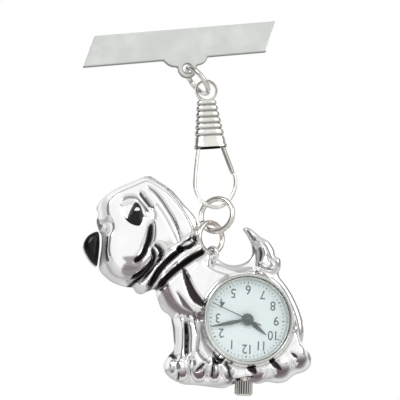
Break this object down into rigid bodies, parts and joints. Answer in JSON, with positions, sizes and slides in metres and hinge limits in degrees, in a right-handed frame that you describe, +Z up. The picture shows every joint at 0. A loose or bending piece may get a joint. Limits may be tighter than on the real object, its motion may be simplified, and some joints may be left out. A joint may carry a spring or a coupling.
{
  "type": "fob watch",
  "caption": "Dog-shaped chrome fob watch hanging upside down by jump rings and a spring clip from a bar brooch, with a round analogue dial.",
  "frame": {"origin": "middle of the back face of the brooch bar, where it lies against the cloth", "axes": "+Z up along the hanging chain, +X to the right seen from the front, -Y the side that faces the viewer"},
  "size_m": [0.045, 0.0089, 0.077],
  "materials": {
    "satin_chrome": "satin chrome plate over pressed steel",
    "chrome": "bright chrome plate over cast zinc",
    "nickel": "bright nickel plate over brass wire and sheet",
    "steel": "plain steel",
    "brass": "bright machined",
    "enamel": "gloss black enamel",
    "dial_white": "icy white lacquer",
    "hand_grey": "dark grey lacquer",
    "glass": "clear mineral glass",
    "plastic": "moulded",
    "board": "green solder mask",
    "copper": "enamelled copper wire",
    "rubber": "moulded"
  },
  "bodies": {
    "bar": {"pin_bar": "satin_chrome", "pin_base": "nickel", "hinge_rivet": "nickel", "catch_housing": "nickel"},
    "pin": {"pin_stem": "steel"},
    "roller": {"catch_roller": "nickel"},
    "upper_ring": {"upper_jump_ring": "nickel"},
    "clip": {"clip_sleeve": "nickel", "clip_hook_wire": "nickel", "gate_pin": "nickel"},
    "gate": {"clip_gate": "nickel"},
    "middle_ring": {"middle_jump_ring": "nickel"},
    "lower_ring": {"lower_jump_ring": "nickel"},
    "case": {"case_body": "chrome", "nose_enamel": "enamel", "eye_enamel": "enamel", "bezel": "chrome", "crystal": "glass", "rehaut_ring": "chrome", "dial": "dial_white", "case_back": "satin_chrome", "case_gasket": "rubber", "main_plate": "brass", "train_bridge": "steel", "bridge_screw_1": "steel", "bridge_screw_2": "steel", "bridge_screw_3": "steel", "stator": "steel", "coil_core": "steel", "coil_winding": "copper", "quartz_can": "steel", "circuit_board": "board", "battery_cell": "steel", "battery_strap": "steel", "movement_holder": "plastic", "crown_tube": "brass"},
    "clutch": {"sliding_pinion": "steel"},
    "crown": {"winding_stem": "steel", "crown": "nickel"},
    "seconds": {"seconds_wheel": "brass", "second_hand": "hand_grey"},
    "rotor": {"rotor": "steel"},
    "intermediate": {"intermediate_wheel": "brass"},
    "third": {"third_wheel": "brass"},
    "minutes": {"centre_wheel": "brass", "minute_hand": "hand_grey"},
    "motion": {"minute_wheel": "brass"},
    "hours": {"hour_wheel": "brass", "hour_hand": "hand_grey"},
    "setting": {"setting_wheel": "steel"}
  },
  "joints": [
    {"name": "pin_open", "type": "hinge", "parent": "bar", "child": "pin", "pos_m": [-0.013, 0.00175, 0], "axis": [0, 0, 1], "range_deg": [0, 70]},
    {"name": "catch_turn", "type": "hinge", "parent": "bar", "child": "roller", "pos_m": [0.012, 0.0023, 0], "axis": [1, 0, 0], "range_deg": [0, 170]},
    {"name": "upper_ring_swing", "type": "hinge", "parent": "bar", "child": "upper_ring", "pos_m": [0.0009, -0.0005, -0.0053], "axis": [0, 1, 0], "range_deg": [-40, 75]},
    {"name": "clip_swing", "type": "hinge", "parent": "upper_ring", "child": "clip", "pos_m": [0.0037, -0.0005, -0.0096], "axis": [1, 0, 0], "range_deg": [-40, 40]},
    {"name": "gate_press", "type": "hinge", "parent": "clip", "child": "gate", "pos_m": [0.0057, -0.0005, -0.0204], "axis": [0, 1, 0], "range_deg": [0, 20], "stiffness_Nm_per_rad": 0.02},
    {"name": "middle_ring_swing", "type": "hinge", "parent": "clip", "child": "middle_ring", "pos_m": [0.00375, -0.0005, -0.0348], "axis": [1, 0, 0], "range_deg": [-20, 15]},
    {"name": "lower_ring_swing", "type": "hinge", "parent": "middle_ring", "child": "lower_ring", "pos_m": [0.0022, -0.0009, -0.0389], "axis": [0, 1, 0], "range_deg": [-20, 6]},
    {"name": "case_swing", "type": "hinge", "parent": "lower_ring", "child": "case", "pos_m": [0.0014, -0.0006, -0.0441], "axis": [0.848, 0.5299, 0], "range_deg": [-35, 3]},
    {"name": "crown_turn", "type": "hinge", "parent": "case", "child": "clutch", "pos_m": [0.00645, -0.0014, -0.05855], "axis": [-0.1564, 0, -0.9877], "continuous": true},
    {"name": "stem_pull", "type": "slide", "parent": "clutch", "child": "crown", "axis": [-0.1564, 0, -0.9877], "range_m": [0, 0.0009]},
    {"name": "seconds_turn", "type": "hinge", "parent": "case", "child": "seconds", "pos_m": [0.00645, 0, -0.05855], "axis": [0, 1, 0], "continuous": true},
    {"name": "rotor_turn", "type": "hinge", "parent": "case", "child": "rotor", "pos_m": [0.00247, 0, -0.05792], "axis": [0, 1, 0], "continuous": true},
    {"name": "intermediate_turn", "type": "hinge", "parent": "case", "child": "intermediate", "pos_m": [0.00406, 0, -0.0588], "axis": [0, 1, 0], "continuous": true},
    {"name": "third_turn", "type": "hinge", "parent": "case", "child": "third", "pos_m": [0.00827, 0, -0.06002], "axis": [0, 1, 0], "continuous": true},
    {"name": "minutes_turn", "type": "hinge", "parent": "case", "child": "minutes", "pos_m": [0.00645, 0, -0.05855], "axis": [0, 1, 0], "continuous": true},
    {"name": "motion_turn", "type": "hinge", "parent": "case", "child": "motion", "pos_m": [0.00789, 0, -0.06021], "axis": [0, 1, 0], "continuous": true},
    {"name": "hours_turn", "type": "hinge", "parent": "case", "child": "hours", "pos_m": [0.00645, 0, -0.05855], "axis": [0, 1, 0], "continuous": true},
    {"name": "setting_turn", "type": "hinge", "parent": "case", "child": "setting", "pos_m": [0.00573, 0, -0.06104], "axis": [0, 1, 0], "continuous": true}
  ],
  "couplings": [
    {"joint": "intermediate_turn", "follows": "seconds_turn", "ratio": -5},
    {"joint": "rotor_turn", "follows": "seconds_turn", "ratio": 30},
    {"joint": "third_turn", "follows": "seconds_turn", "ratio": -0.13333},
    {"joint": "minutes_turn", "follows": "seconds_turn", "ratio": 0.016667},
    {"joint": "motion_turn", "follows": "seconds_turn", "ratio": -0.0055556},
    {"joint": "hours_turn", "follows": "seconds_turn", "ratio": 0.0013889},
    {"joint": "setting_turn", "follows": "seconds_turn", "ratio": 0.013636}
  ]
}
